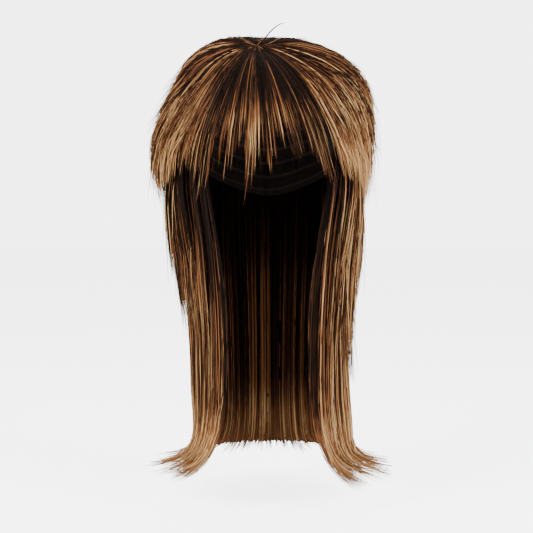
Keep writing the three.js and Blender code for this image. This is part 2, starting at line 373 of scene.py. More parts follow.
TIER_CUTS = {
    "long": {
        "rings": 13,
        "tuck": 0.0,
        "flare": 0.16,
        "per_lock": 9,
        "gather": 0.8,
        "ragged": 0.12,
        "short": 0.12,
        "rise": 9.0,
        "flick": 1.0,
        "feather": 3.0,
        "lighter": 0.0,
        "within": 0.45,
    },
    "lower": {**SHORT_TIER, "tuck": 4.5},
    "upper": {**SHORT_TIER, "tuck": 5.0},
}
ALL_TIERS = {
    "together": 0.25,
    "stray": 0.7,
    "thinning": 1.3,
    "deep": 1.8,
    "spread": 1.6,
    "sway": 0.6,
    "at_edge": 0.15,
}
BACK_WIDTH = 1.4
LONG_SIDE_FULLNESS = 1.7
FIRST_TIER_SEED = 31

# Loose hairs: how many, where they start, how long they are and how far they stand off
LOOSE = {"seed": 71, "rings": 7, "closing": 1.3, "reach": 0.6, "width": 0.65, "vary": (0.8, 1.2)}
FLYAWAYS = {
    "starts": (0.02, 0.75),
    "lengths": (0.12, 0.4),
    "turn": 6,
    "span": (48, 312),
    "within": (52, 308),
}
FLYAWAY_STAND = {"shape": 2.0, "scale": 2.0, "most": 14.0, "root": 1.0, "curl": 1.5}
STRAYS = {
    "per_panel": 45,
    "starts": (0.3, 0.75),
    "lengths": (0.2, 0.4),
    "turn": 4,
    "inset": 6,
    "lighter": 0.15,
}
STRAY_STAND = {"shape": 1.5, "scale": 1.5, "root": 1.0}
FUZZ = {"count": 500, "stand": (1.5, 5.0), "starts": (0.05, 0.85), "lengths": (0.06, 0.14), "turn": 4}
FUZZ_TONES = (0.2, 0.7)
FUZZ_ROOT = 0.6
TUFTS = {"count": 50, "starts": (0.0, 0.05), "lengths": (0.04, 0.1), "turn": 30, "foot": 0.2, "tip": 0.6}
TUFT_STAND = {"shape": 1.5, "scale": 1.3}
# The light tufts are the whorl's pale short hairs, and they also paint the glints of light on it.
TUFT_TONES = {"tone": (0.05, 0.4, 0.8), "share": (0.5, 0.36, 0.14)}
TUFT_WIDTH = 0.6
LONG_STRAY = {
    "x": (-9, -3, 2, 8, 14, 20),
    "y": (-45, -44, -44, -43, -42, -41),
    "z": (8, 15, 21, 26.5, 30, 31),
}
LONG_STRAY_WIDTH = 2.0
LONG_STRAY_TONE = 0.25

# Stage
FLOOR_LEVEL = -0.493
FLOOR_GLOW = 4.3
FLOOR_HALF_WIDTH = 6.0
SKY_STRENGTH = (0.45, 5.0)
LIGHTS = {
    "key": {
        "place": (-1.15, -0.85, 0.55),
        "aim": (0, 0, -0.15),
        "size": 0.5,
        "power": 44,
        "tint": (1.0, 0.97, 0.93),
    },
    "fill": {
        "place": (1.2, -0.8, 0.35),
        "aim": (0, 0, -0.2),
        "size": 0.6,
        "power": 40,
        "tint": (1.0, 0.98, 0.96),
    },
    "top": {
        "place": (0.0, 0.5, 1.1),
        "aim": (0, 0, -0.1),
        "size": 0.8,
        "power": 11,
        "tint": (1.0, 1.0, 1.0),
    },
}
CAMERA = {"place": (0.0, -1.2, -0.150), "aim": (-0.00165, 0.0, -0.228), "lens": 73.7, "sensor": 36.0}


class WigSizes(bpy.types.PropertyGroup):
    """Sizes and amounts of hair."""

    strand_width: FloatProperty(
        name="Strand width",
        description="Width of a strand of hair at its widest",
        default=0.00105,
        unit="LENGTH",
        subtype="DISTANCE",
    )
    crown_strands: IntProperty(
        name="Crown strands",
        description="Layered strands in each half of the crown",
        default=1450,
        min=100,
    )
    fringe_strands: IntProperty(
        name="Fringe strands",
        description="Strands in the fringe",
        default=1300,
        min=50,
    )
    panel_strands: IntProperty(
        name="Panel strands",
        description="Strands in each panel of a hanging tier",
        default=600,
        min=50,
    )
    loose_strands: IntProperty(
        name="Loose strands",
        description="Stray hairs that stand off the outside",
        default=480,
        min=0,
    )


class WigColours(bpy.types.PropertyGroup):
    """Colours of the hair and the cap."""

    # The darkest stop: the hair's dark roots, and painted shade deep between the locks and on the hair's
    # inner face.
    shadow: FloatVectorProperty(
        name="Darkest hair",
        description="Hair at the roots and deep between the locks",
        default=(0.0072, 0.0042, 0.0031),
        subtype="COLOR",
    )
    brown: FloatVectorProperty(
        name="Brown hair",
        description="Main brown of the hair",
        default=(0.068, 0.0266, 0.0132),
        subtype="COLOR",
    )
    caramel: FloatVectorProperty(
        name="Caramel hair",
        description="Lighter locks",
        default=(0.35, 0.139, 0.052),
        subtype="COLOR",
    )
    blonde: FloatVectorProperty(
        name="Blonde hair",
        description="Brightest streaks and tips",
        default=(0.67, 0.43, 0.195),
        subtype="COLOR",
    )
    net: FloatVectorProperty(
        name="Cap net",
        description="Knitted net of the cap",
        default=(0.022, 0.015, 0.012),
        subtype="COLOR",
    )


def smooth(at, values, where, level=True):
    """A cubic curve through a table's column, with its slope at a row taken across the neighbours."""
    at = np.asarray(at, float)
    values = np.asarray(values, float)
    slope = np.empty_like(values)
    slope[1:-1] = (values[2:] - values[:-2]) / (at[2:] - at[:-2])
    slope[0] = 0.0 if level else (values[1] - values[0]) / (at[1] - at[0])
    slope[-1] = 0.0 if level else (values[-1] - values[-2]) / (at[-1] - at[-2])
    where = np.clip(where, at[0], at[-1])
    row = np.clip(np.searchsorted(at, where, side="right") - 1, 0, len(at) - 2)
    step = at[row + 1] - at[row]
    p = (where - at[row]) / step
    rise = p * p * (3 - 2 * p)
    ends = (1 - rise) * values[row] + rise * values[row + 1]
    return ends + step * (p * (1 - p) ** 2 * slope[row] - p * p * (1 - p) * slope[row + 1])


def ease(x, low, high):
    """0 below low, 1 above high, smooth between."""
    t = np.clip((x - low) / (high - low), 0.0, 1.0)
    return t * t * (3 - 2 * t)


def band(x, limits):
    """1 between two limits, eased to 0 on either side."""
    return ease(x, limits["from"], limits["full"]) * (1 - ease(x, limits["fading"], limits["to"]))


def unit(vectors):
    return vectors / np.maximum(np.linalg.norm(vectors, axis=-1, keepdims=True), 1e-9)


def from_front(azimuth):
    """The angle between an azimuth and the front, on either side."""
    return 180 - np.abs(180 - np.abs(azimuth))


def head_point(azimuth, elevation, grow):
    """The head form's point in a direction, grown by some millimetres.

    Below its widest level the form runs straight down.
    """
    rise = np.sin(np.radians(elevation))
    inset = (1 - np.clip(rise, 0, 1) ** HEAD_SQUARENESS) ** (1 / HEAD_SQUARENESS)
    turn = np.radians(azimuth)
    depth = np.where(np.cos(turn) > 0, HEAD_FRONT, HEAD_BACK)
    across = (HEAD_HALF_WIDTH + grow) * inset * np.sin(turn)
    along = -(depth + grow) * inset * np.cos(turn)
    up = (CROWN_TO_EAR + grow) * rise - CROWN_TO_EAR
    return np.stack(np.broadcast_arrays(across, along, up), axis=-1)


def elevation_of(z, grow):
    return np.degrees(np.arcsin(np.clip((z + CROWN_TO_EAR) / (CROWN_TO_EAR + grow), -1, 1)))


def direction(azimuth, elevation):
    level = np.cos(np.radians(elevation))
    return np.stack(
        np.broadcast_arrays(
            level * np.sin(np.radians(azimuth)),
            -level * np.cos(np.radians(azimuth)),
            np.sin(np.radians(elevation)),
        ),
        axis=-1,
    )


def lock_way(azimuth, elevation, share):
    """The direction of a lock at a share of its way from the whorl to its tip.

    At the front and the sides it takes the shortest way. Towards the back it comes over the top and
    falls straight.
    """
    start = direction(WHORL["azimuth"], WHORL["elevation"])
    end = direction(azimuth, elevation)
    arc = np.arccos(np.clip(end @ start, -1, 1))[..., None]
    part = share[..., None] * arc
    shortest = (np.sin(arc - part) * start + np.sin(part) * end) / np.sin(arc)
    straight = direction(azimuth, 90 + (elevation - 90) * share)
    lean = unit(np.cross((0.0, 0.0, 1.0), start))
    turn = (np.radians(90 - WHORL["elevation"]) * (1 - share))[..., None]
    beside = (straight @ lean)[..., None] * lean
    straight = beside + (straight - beside) * np.cos(turn) + np.cross(lean, straight) * np.sin(turn)
    fall = ease(from_front(azimuth), FALL["from"], FALL["to"])[..., None]
    return unit(shortest + (straight - shortest) * fall)


def dome_point(hem, azimuth, share, inward):
    """A point of the crown or the fringe, at a share of the way from the whorl to the hem at an azimuth.

    inward takes the outside and the inside there, off the cap, and gives the height to use.
    """
    azimuth, share = np.broadcast_arrays(np.asarray(azimuth, float), np.asarray(share, float))
    tip_z = smooth(hem["azimuth"], hem["z"], azimuth)
    swing = smooth(hem["azimuth"], hem["swing"], azimuth)
    way = lock_way(azimuth + swing * share**2, elevation_of(tip_z, CAP_WALL), share)
    bearing = np.degrees(np.arctan2(way[..., 0], -way[..., 1]))
    elevation = np.degrees(np.arcsin(np.clip(way[..., 2], -1, 1)))

    across = np.sin(np.radians(bearing)) ** 2
    sides = {name: smooth(CROWN_LIFT["elevation"], CROWN_LIFT[name], elevation) for name in CROWN_LIFT}
    side = np.where(np.sin(np.radians(bearing)) > 0, sides["left"], sides["right"])
    end_on = np.where(np.cos(np.radians(bearing)) > 0, sides["front"], sides["back"])
    lift = across * side + (1 - across) * end_on
    seat = DOME_SEAT + (lift - DOME_SEAT) * DOME_HOLLOW * ease(share, *HOLLOWING)
    return head_point(bearing, elevation, CAP_WALL + inward(lift, seat))


def round_panel(tier, row, azimuth):
    """A tier's value at an azimuth, eased from the front edge to the side and on to the back."""
    turned = from_front(azimuth)
    side = np.where(azimuth > 180, row["right"], row["left"])
    to_side = ease(turned, tier["front_edge"], SIDE_AZIMUTH)
    to_back = ease(turned, SIDE_AZIMUTH, 180.0)
    front = row["edge"] + (side - row["edge"]) * to_side
    return np.where(to_back > 0, side + (row["back"] - side) * to_back, front)


def panel_span(tier, side):
    front = tier["front_edge"]
    return {
        "left": (front, PANEL_SPLIT),
        "back": (PANEL_SPLIT, 360 - PANEL_SPLIT),
        "right": (360 - PANEL_SPLIT, 360 - front),
    }[side]


def panel_point(tier, side, azimuth, share, inward):
    """A point of a hanging panel, at a share of the way from its root to its tips."""
    azimuth, share = np.broadcast_arrays(np.asarray(azimuth, float), np.asarray(share, float))
    rows = np.arange(len(tier["z"]))
    place = share * round_panel(tier, tier["reach"], azimuth) * (len(rows) - 1)
    over = np.maximum(place - rows[-1], 0.0)
    row = {
        name: smooth(rows, tier[name], place, level=False)
        for name in ("z", "edge", "left", "back", "right", "thick", "plump", "drift")
    }
    for name in ("z", "edge", "left", "back", "right", "drift"):
        row[name] = row[name] + PAST_TIPS * over * (tier[name][-1] - tier[name][-2])
    first, last = panel_span(tier, side)
    across = (azimuth - first) / (last - first)
    drift = {"left": across - 1, "back": 0.0 * across, "right": across}[side] * row["drift"]
    outer = round_panel(tier, row, azimuth)
    inner = outer - row["thick"] - row["plump"] * band(from_front(azimuth), BESIDE_NECK)
    elevation = np.maximum(0.0, elevation_of(row["z"], CAP_WALL))
    point = head_point(azimuth + drift, elevation, CAP_WALL + inward(outer, inner))
    point[..., 2] = row["z"]
    return point


def keep_piece(obj, nodes):
    """Adds a finished piece to the scene, in place of its CAD nodes."""
    bpy.context.scene.collection.objects.link(obj)
    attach(obj, "root")
    if nodes:
        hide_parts(*nodes)
    return obj


def mesh_from(bm, name):
    mesh = bpy.data.meshes.new(name)
    bm.to_mesh(mesh)
    bm.free()
    return mesh


def strand_piece(name, paths, along, width, tones, reach, nodes):
    """One joined mesh of closed three-sided strands that taper to a point.

    paths holds the points of each strand in millimetres and along how far along it they are. tones
    is the tone of each of its three sides, and reach how far each point is from the roots of the
    hair, from 0 to 1. Both are laid out in the UV map, where sides of one tone share a column.
    """
    count, rings = paths.shape[:2]
    tangent = unit(np.gradient(paths, axis=1))
    core = np.zeros_like(paths)
    core[..., 2] = np.minimum(paths[..., 2], -CROWN_TO_EAR)
    out = unit(paths - core)
    side = unit(np.cross(tangent, out))
    up = np.cross(side, tangent)
    swell = np.minimum(1.0, ROOT_WIDTH + (1 - ROOT_WIDTH) * along / FULL_WIDTH_FROM)
    taper = swell * (1 - along ** TAPER[0]) ** TAPER[1]
    radius = 0.5 * np.asarray(width)[:, None, None] / MM * taper[None, :, None]
    corners = np.stack(
        [
            paths + RIDGE * radius * up,
            paths - radius * side - FEET * radius * up,
            paths + radius * side - FEET * radius * up,
        ],
        axis=2,
    )
    body = corners[:, :-1].reshape(count, -1, 3)
    points = np.concatenate([body, paths[:, -1:]], axis=1)
    per_strand = points.shape[1]

    low, middle, high = COLUMN_SPOTS
    quads, quad_spot = [], []
    for ring in range(rings - 2):
        for corner in range(3):
            a, b = 3 * ring + corner, 3 * ring + (corner + 1) % 3
            quads.append((a, a + 3, b + 3, b))
            one_edge = [(corner, low, ring), (corner, low, ring + 1)]
            other_edge = [(corner, high, ring + 1), (corner, high, ring)]
            quad_spot.append(one_edge + other_edge)
    last, tip = rings - 2, rings - 1
    triangles = [(0, 1, 2)]
    triangle_spot = [[(0, low, 0), (0, high, 0), (0, middle, 0)]]
    for corner in range(3):
        triangles.append((3 * last + corner, per_strand - 1, 3 * last + (corner + 1) % 3))
        triangle_spot.append([(corner, low, last), (corner, middle, tip), (corner, high, last)])

    corners_of_one = np.concatenate([np.ravel(quads), np.ravel(triangles)])
    spots = np.concatenate([np.reshape(quad_spot, (-1, 3)), np.reshape(triangle_spot, (-1, 3))])
    side_of_one, ring_of_one = spots[:, 0].astype(int), spots[:, 2].astype(int)
    sizes = np.array([4] * len(quads) + [3] * len(triangles))
    starts = np.concatenate([[0], np.cumsum(sizes)[:-1]])
    step = np.arange(count)
    corner_index = (corners_of_one[None, :] + step[:, None] * per_strand).ravel()
    face_start = (starts[None, :] + step[:, None] * len(corners_of_one)).ravel()
    column = np.clip(np.asarray(tones) * TONE_COLUMNS, 0, TONE_COLUMNS - 1).astype(int)
    uv = np.empty((count, len(spots), 2))
    uv[..., 0] = (column[:, side_of_one] + spots[None, :, 1]) / TONE_COLUMNS
    uv[..., 1] = np.clip(reach, *REACH_LIMITS)[:, ring_of_one]

    mesh = bpy.data.meshes.new(name)
    mesh.vertices.add(count * per_strand)
    mesh.vertices.foreach_set("co", (points * MM).ravel())
    mesh.loops.add(len(corner_index))
    mesh.loops.foreach_set("vertex_index", corner_index)
    mesh.polygons.add(len(face_start))
    mesh.polygons.foreach_set("loop_start", face_start)
    layer = mesh.uv_layers.new(name="OFBake")
    layer.data.foreach_set("uv", uv.ravel())
    mesh.update(calc_edges=True)
    mesh.validate()
    mesh.shade_smooth()
    mesh.materials.append(finish_for("Hair strands"))
    return keep_piece(bpy.data.objects.new(name, mesh), nodes)


def lock_sheet(name, locks, rows, place, nodes):
    """The combed body of a piece of hair: a grid rolled into a closed sheet with a hem of locks.

    place takes each point's column, the number of columns, its share of the run, whether it is
    outside and how far the sheet is open there.
    """
    columns = 2 * locks
    loop = 2 * rows + 1
    bm = bmesh.new()
    layer = bm.loops.layers.uv.new("OFBake")
    bmesh.ops.create_grid(bm, x_segments=columns, y_segments=loop, size=0.5)
    grid = np.array([vert.co[:2] for vert in bm.verts]) + 0.5
    for face in bm.faces:
        face.smooth = True
        for corner in face.loops:
            corner[layer].uv = (corner.vert.co.x + 0.5, corner.vert.co.y + 0.5)
    column = np.rint(grid[:, 0] * columns).astype(int)
    step = np.rint(grid[:, 1] * loop).astype(int)
    outside = step > rows
    row = np.where(outside, step - rows - 1, rows - step) / rows
    opened = np.where((column == 0) | (column == columns), 0.0, 1 - row**3)
    points = place(column, columns, row, outside, opened) * MM
    for vert, point in zip(bm.verts, points):
        vert.co = point
    bmesh.ops.remove_doubles(bm, verts=bm.verts[:], dist=1e-6)
    bmesh.ops.dissolve_degenerate(bm, edges=bm.edges[:], dist=1e-6)
    bmesh.ops.recalc_face_normals(bm, faces=bm.faces[:])
    mesh = mesh_from(bm, name)
    mesh.materials.append(finish_for("Combed hair"))
    return keep_piece(bpy.data.objects.new(name, mesh), nodes)


def lock_run(rng, columns, notch, ragged):
    """How far each column of a lock sheet runs: partings stop short of the tips."""
    run = 1 - ragged + ragged * rng.uniform(-1, 1, columns + 1)
    partings = np.arange(0, columns + 1, 2)
    run[partings] = 1 - ragged - notch * (1 + NOTCH_VARY * rng.uniform(-1, 1, len(partings)))
    return run


def shade_tones(rng, shape):
    """Tones drawn from the shades."""
    share = np.asarray(SHADES["share"])
    pick = rng.choice(len(share), size=shape, p=share / share.sum())
    vary = rng.normal(0, 1, shape) * np.asarray(SHADES["vary"])[pick]
    return np.asarray(SHADES["tone"])[pick] + vary


def strand_tones(rng, lock, locks, cut):
    """A tone for each side of each strand: its lock's or its own, varied a little from side to side."""
    shared = shade_tones(rng, locks)[lock]
    own = shade_tones(rng, len(lock))
    tone = np.where(rng.random(len(lock)) < cut["together"], shared, own)
    return tone[:, None] + rng.normal(0, SIDE_VARY, (len(lock), 3)) + cut["lighter"]


def gather_locks(rng, count, span, cut, table):
    """The lock of each strand, then the azimuth, the reach and the depth of each lock."""
    locks = max(FEWEST_LOCKS, count // cut["per_lock"])
    lock = rng.integers(0, locks, count)
    azimuth = np.linspace(*span, locks) + rng.normal(0, cut["stray"], locks)
    reach = table["lock_end"] - cut["ragged"] * rng.random(locks) ** cut["thinning"]
    reach = reach + table["lock_uneven"] * rng.normal(0, 1, locks)
    return lock, azimuth, reach, cut["deep"] * rng.random(locks)


def wander(rng, share, waves, cut):
    """How far strands are from the middle of their lock, which narrows to its tip."""
    count = len(share)
    aside = rng.normal(0, cut["spread"], count)[:, None]
    sway = rng.normal(0, cut["sway"], count)[:, None]
    wave = np.sin(share * waves + rng.uniform(0, 6, (count, 1)))
    return aside * (1 - cut["gather"] * share**2) + sway * wave * share


def steps_to_tip(rings, closing):
    """Places of a strand's rings along it, closer together towards the tip."""
    return 1 - (1 - np.linspace(0.0, 1.0, rings)) ** closing


def amount(count):
    """The number of strands to make, as given."""
    return count


# Materials


def node(tree, kind, **inputs):
    """A shader node with values set on its sockets by name."""
    made = tree.nodes.new(kind)
    for name, value in inputs.items():
        made.inputs[name.replace("_", " ")].default_value = value
    return made


def wire(tree, source, output, target, socket):
    tree.links.new(source.outputs[output], target.inputs[socket])


def combine(tree, operation, *sources):
    """A Math node fed by the outputs of other nodes."""
    made = node(tree, "ShaderNodeMath")
    made.operation = operation
    for socket, (source, output) in enumerate(sources):
        wire(tree, source, output, made, socket)
    return made


def remap(tree, source, output, taken, given):
    """A Map Range node that takes one pair of limits to another."""
    made = node(tree, "ShaderNodeMapRange")
    for name, value in zip(("From Min", "From Max", "To Min", "To Max"), (*taken, *given)):
        made.inputs[name].default_value = value
    wire(tree, source, output, made, "Value")
    return made


def mapped(tree, where, **inputs):
    """The UV map, scaled or turned."""
    made = node(tree, "ShaderNodeMapping", **inputs)
    wire(tree, where, "UV", made, "Vector")
    return made


def own_layout(tree):
    """The UV map of the piece that wears the material."""
    where = node(tree, "ShaderNodeUVMap")
    where.uv_map = "OFBake"
    return where


def colour(values):
    return (*values, 1.0)


def hair_tone_group(colours):
    """Node group that turns a tone and the reach from the roots into the colour of hair.

    Roots are darkened, both as the hair's own darker roots and as painted shade where they lie under
    other hair, and tips are lightened so that dark and light strands stay apart.
    """
    group = bpy.data.node_groups.new("Hair tone", "ShaderNodeTree")
    group.interface.new_socket("Tone", in_out="INPUT", socket_type="NodeSocketFloat")
    group.interface.new_socket("Reach", in_out="INPUT", socket_type="NodeSocketFloat")
    group.interface.new_socket("Colour", in_out="OUTPUT", socket_type="NodeSocketColor")
    given = group.nodes.new("NodeGroupInput")
    result = group.nodes.new("NodeGroupOutput")

    # Dark roots and painted shade: the tone drops by up to 0.68 near the roots.
    root = remap(group, given, "Reach", (0.12, 0.62), (-0.68, 0.0))
    tip = remap(group, given, "Reach", (0.74, 1.0), (0.0, 0.22))
    for shift in (root, tip):
        shift.interpolation_type = "SMOOTHSTEP"
    tone = combine(group, "ADD", (given, "Tone"), (root, "Result"))
    faded = remap(group, tip, "Result", (0.0, 1.0), (0.0, 2.2))
    wire(group, tone, "Value", faded, "To Min")

    ramp = group.nodes.new("ShaderNodeValToRGB")
    stops = ramp.color_ramp.elements
    stops[0].position, stops[0].color = 0.02, colour(colours.shadow)
    stops[1].position, stops[1].color = 0.98, colour(colours.blonde)
    for position, value in ((0.38, colours.brown), (0.70, colours.caramel)):
        stops.new(position).color = colour(value)
    wire(group, faded, "Result", ramp, "Fac")
    wire(group, ramp, "Color", result, "Colour")
    return group


def new_material(name, roughness, specular):
    material = bpy.data.materials.new(name)
    material.use_nodes = True
    shader = material.node_tree.nodes["Principled BSDF"]
    shader.inputs["Roughness"].default_value = roughness
    shader.inputs["Specular IOR Level"].default_value = specular
    return material, material.node_tree, shader


def strand_material(group):
    """Silky strands, coloured by the tone and the reach that their UV map holds."""
    material, tree, shader = new_material("Hair strands", 0.5, 0.05)
    parts = node(tree, "ShaderNodeSeparateXYZ")
    wire(tree, own_layout(tree), "UV", parts, "Vector")
    tone = tree.nodes.new("ShaderNodeGroup")
    tone.node_tree = group
    wire(tree, parts, "X", tone, "Tone")
    wire(tree, parts, "Y", tone, "Reach")
    wire(tree, tone, "Colour", shader, "Base Color")
    return material


def combed_material(group):
    """The body of the hair under the strands: fine streaks that run from root to tip, kept dark as
    painted shade deep in the hair.
    """
    material, tree, shader = new_material("Combed hair", 0.7, 0.1)
    where = own_layout(tree)
    streaks = node(tree, "ShaderNodeTexNoise", Scale=1.0, Detail=3.0, Roughness=0.65)
    wire(tree, mapped(tree, where, Scale=(150.0, 2.2, 1.0)), "Vector", streaks, "Vector")
    # Painted shade: the body's streaks stay at the dark end of the tones, for the shade deep in the hair
    # between the strands.
    shade = remap(tree, streaks, "Fac", (0.3, 0.72), (0.0, 0.28))
    parts = node(tree, "ShaderNodeSeparateXYZ")
    wire(tree, where, "UV", parts, "Vector")
    inside = remap(tree, parts, "Y", (0.0, 0.5), (1.0, 0.45))
    outside = remap(tree, parts, "Y", (0.5, 1.0), (0.45, 1.0))
    reach = combine(tree, "MAXIMUM", (inside, "Result"), (outside, "Result"))
    tone = tree.nodes.new("ShaderNodeGroup")
    tone.node_tree = group
    wire(tree, shade, "Result", tone, "Tone")
    wire(tree, reach, "Value", tone, "Reach")
    wire(tree, tone, "Colour", shader, "Base Color")
    relief = node(tree, "ShaderNodeBump", Strength=0.7, Distance=0.0008)
    wire(tree, streaks, "Fac", relief, "Height")
    wire(tree, relief, "Normal", shader, "Normal")
    return material


def net_material(colours):
    """Stretch net: a fine diamond knit with a denser woven row at each line of sewn-on hair."""
    material, tree, shader = new_material("Cap net", 0.85, 0.2)
    where = own_layout(tree)
    threads = []
    for lean in (0.6, -0.6):
        turn = mapped(tree, where, Rotation=(0.0, 0.0, lean), Scale=(260.0, 110.0, 1.0))
        wave = node(tree, "ShaderNodeTexWave", Scale=0.31, Distortion=0.4)
        wire(tree, turn, "Vector", wave, "Vector")
        threads.append((wave, "Fac"))
    knit = combine(tree, "MAXIMUM", *threads)
    seam = node(tree, "ShaderNodeTexWave", Scale=0.314, Distortion=0.2)
    seam.bands_direction = "Y"
    wire(tree, mapped(tree, where, Scale=(1.0, 13.0, 1.0)), "Vector", seam, "Vector")
    dense = remap(tree, seam, "Fac", (0.8, 0.95), (0.0, 1.0))
    height = combine(tree, "ADD", (knit, "Value"), (dense, "Result"))
    shade = remap(tree, height, "Value", (0.3, 1.8), (0.25, 1.9))
    tint = node(tree, "ShaderNodeVectorMath")
    tint.operation = "SCALE"
    tint.inputs[0].default_value = colours.net
    wire(tree, shade, "Result", tint, "Scale")
    wire(tree, tint, "Vector", shader, "Base Color")
    relief = node(tree, "ShaderNodeBump", Strength=0.8, Distance=0.0006)
    wire(tree, height, "Value", relief, "Height")
    wire(tree, relief, "Normal", shader, "Normal")
    return material


def finish_for(name):
    """The wig's materials, made the first time that one is asked for."""
    if name not in bpy.data.materials:
        colours = bpy.context.scene.wig_colours
        group = hair_tone_group(colours)
        strand_material(group)
        combed_material(group)
        net_material(colours)
    return bpy.data.materials[name]


class WIG_OT_cap(bpy.types.Operator):
    """Make the stretch-net cap"""

    bl_idname = "wig.cap"
    bl_label = "Cap"

    def execute(self, context):
        bm = bmesh.new()
        layer = bm.loops.layers.uv.new("OFBake")
        bmesh.ops.create_uvsphere(bm, u_segments=96, v_segments=64, radius=1.0)
        below = bmesh.ops.bisect_plane(
            bm,
            geom=bm.verts[:] + bm.edges[:] + bm.faces[:],
            dist=1e-6,
            plane_co=(0, 0, 0),
            plane_no=(0, 0, -1),
            clear_outer=True,
        )
        if not below["geom_cut"]:
            raise RuntimeError("the cap's rim was not cut")
        for face in bm.faces:
            face.smooth = True
        ball = np.array([vert.co[:] for vert in bm.verts])
        azimuth = np.degrees(np.arctan2(ball[:, 0], -ball[:, 1]))
        down = np.degrees(np.arccos(np.clip(ball[:, 2], -1, 1))) / 90.0
        rim = elevation_of(smooth(CAP_RIM["azimuth"], CAP_RIM["z"], np.abs(azimuth)), 0.0)
        elevation = 90.0 + (rim - 90.0) * down
        points = head_point(azimuth, elevation, 0.0)
        below_ear = np.minimum(0.0, np.sin(np.radians(elevation)))
        points[:, :2] *= (1 - NAPE_TAPER * below_ear**2)[:, None]
        turned = {}
        for vert, point, turn, level in zip(bm.verts, points, azimuth, down):
            vert.co = point * MM
            turned[vert] = (turn / 360.0 + 0.5, level)
        for face in bm.faces:
            corners = [turned[corner.vert] for corner in face.loops]
            middle = np.mean([u for u, v in corners if v > CAP_POLE])
            for corner, (u, v) in zip(face.loops, corners):
                if v < CAP_POLE:
                    u = middle
                elif abs(u - middle) > CAP_SEAM:
                    u += 1.0 if u < middle else -1.0
                corner[layer].uv = (u, v)
        bmesh.ops.recalc_face_normals(bm, faces=bm.faces[:])
        mesh = mesh_from(bm, "net_cap")
        mesh.materials.append(finish_for("Cap net"))
        cap = keep_piece(bpy.data.objects.new("net_cap", mesh), ["cap"])
        wall = cap.modifiers.new("Wall", "SOLIDIFY")
        wall.thickness = CAP_WALL * MM
        wall.offset = 1.0
        return {"FINISHED"}


def dome_body(name, hem, cut, nodes):
    """The combed body of the crown or the fringe, just under its strands."""
    rng = np.random.default_rng(cut["seed"])
    run = lock_run(rng, 2 * cut["locks"], cut["notch"], cut["ragged"]) * cut["length"]
    first, last = hem["azimuth"][0], hem["azimuth"][-1]

    def place(column, columns, row, outside, opened):
        share = WHORL_SHARE + (run[column] - WHORL_SHARE) * row
        azimuth = first + (last - first) * column / columns
        ridge = cut["ridge"] * np.where(column % 2, 1, -1) * share

        def height(lift, seat):
            outer = lift - cut["under"] + ridge
            return np.where(outside, outer, outer + (np.minimum(seat, outer) - outer) * opened)

        return dome_point(hem, azimuth, share, height)

    return lock_sheet(name, cut["locks"], cut["rows"], place, nodes)


def dome_strands(name, hem, count, cut, seed, nodes):
    """Strands of the crown or the fringe, gathered in locks that narrow to their tips."""
    rng = np.random.default_rng(seed)
    count = amount(count)
    gathered = gather_locks(rng, count, cut["span"], cut, DOME)
    lock, lock_azimuth, lock_reach, lock_depth = gathered
    locks = len(lock_reach)
    lock_flick = cut["flick"] * rng.random(locks) ** 2
    bulge = band(from_front(lock_azimuth), BULGE)
    short = rng.random(locks) < cut["short"] + cut["short_at_sides"] * bulge
    lock_reach = np.where(short, rng.uniform(*cut["short_ends"], locks), lock_reach)
    lock_stand = np.where(short, rng.uniform(*DOME["short_stand"], locks), 0.0)
    middle = lock_azimuth[lock][:, None]
    tone = strand_tones(rng, lock, locks, cut)
    tone = tone + cut["beside"] * ease(np.abs(middle), *TEMPLES)
    from_long_lock = np.abs(middle - LONG_LOCK["azimuth"])
    tone = tone + cut["long_lock"] * (1 - ease(from_long_lock, *LONG_LOCK["edges"]))

    early = rng.random(count) < cut["from_whorl"]
    at_whorl = rng.uniform(0.0, DOME["whorl_start"], count)
    start = np.where(early, at_whorl, rng.uniform(DOME["layer_start"], cut["latest"], count))
    past_hem = np.maximum(0.0, rng.random(count) - 1 + DOME["past_hem"]) / DOME["past_hem"]
    longer = cut["longer"] * past_hem
    end = lock_reach[lock] * (1 + rng.normal(0, DOME["strand_uneven"], count))
    runs_on = (longer > 0) & ~short[lock]
    end = np.where(runs_on, np.maximum(end, DOME["past_hem_from"] + longer), end)
    end = np.minimum(end, DOME["longest"])
    start = np.minimum(start, end - DOME["shortest"])
    along = steps_to_tip(cut["rings"], DOME["closing"])
    share = start[:, None] + (end - start)[:, None] * along
    azimuth = middle + wander(rng, share, DOME["waves"], cut)

    at_root = DOME["depth_at_root"]
    settled = at_root + (1 - at_root) * ease(share, *DOME["deepening"])
    depth = (lock_depth[lock] + rng.uniform(*DOME["strand_depth"], count))[:, None] * settled
    depth = depth + cut["root_depth"] * (1 - ease(along, 0.0, cut["emerging"]))
    flick = np.where(longer < DOME["no_flick_past"], lock_flick[lock], 0.0)[:, None]
    depth = depth - flick * np.minimum(share, DOME["flick_most"]) ** 8
    stand = (lock_stand[lock] + rng.random(count) ** 3)[:, None]
    depth = depth - cut["feather"] * stand * ease(along, *DOME["feathering"])
    is_light = rng.random(count) < cut["light_roots"]
    light = np.where(is_light, rng.uniform(*DOME["light_reach"], count), 0.0)[:, None]
    depth = depth - DOME["light_above"] * (light > 0)

    def height(lift, seat):
        return np.maximum(lift - depth, DOME["closest"])

    paths = dome_point(hem, azimuth, share, height)
    width = bpy.context.scene.wig_sizes.strand_width * rng.uniform(*DOME["width"], count) * cut["width"]
    reach = (1 - DOME["own_tip"]) * share + DOME["own_tip"] * along**3
    reach = cut["fades"] * reach ** cut["slow"]
    reach = np.maximum(reach, light * ease(share, *DOME["light_from"]))
    return strand_piece(name, paths, along, width, tone, reach, nodes)


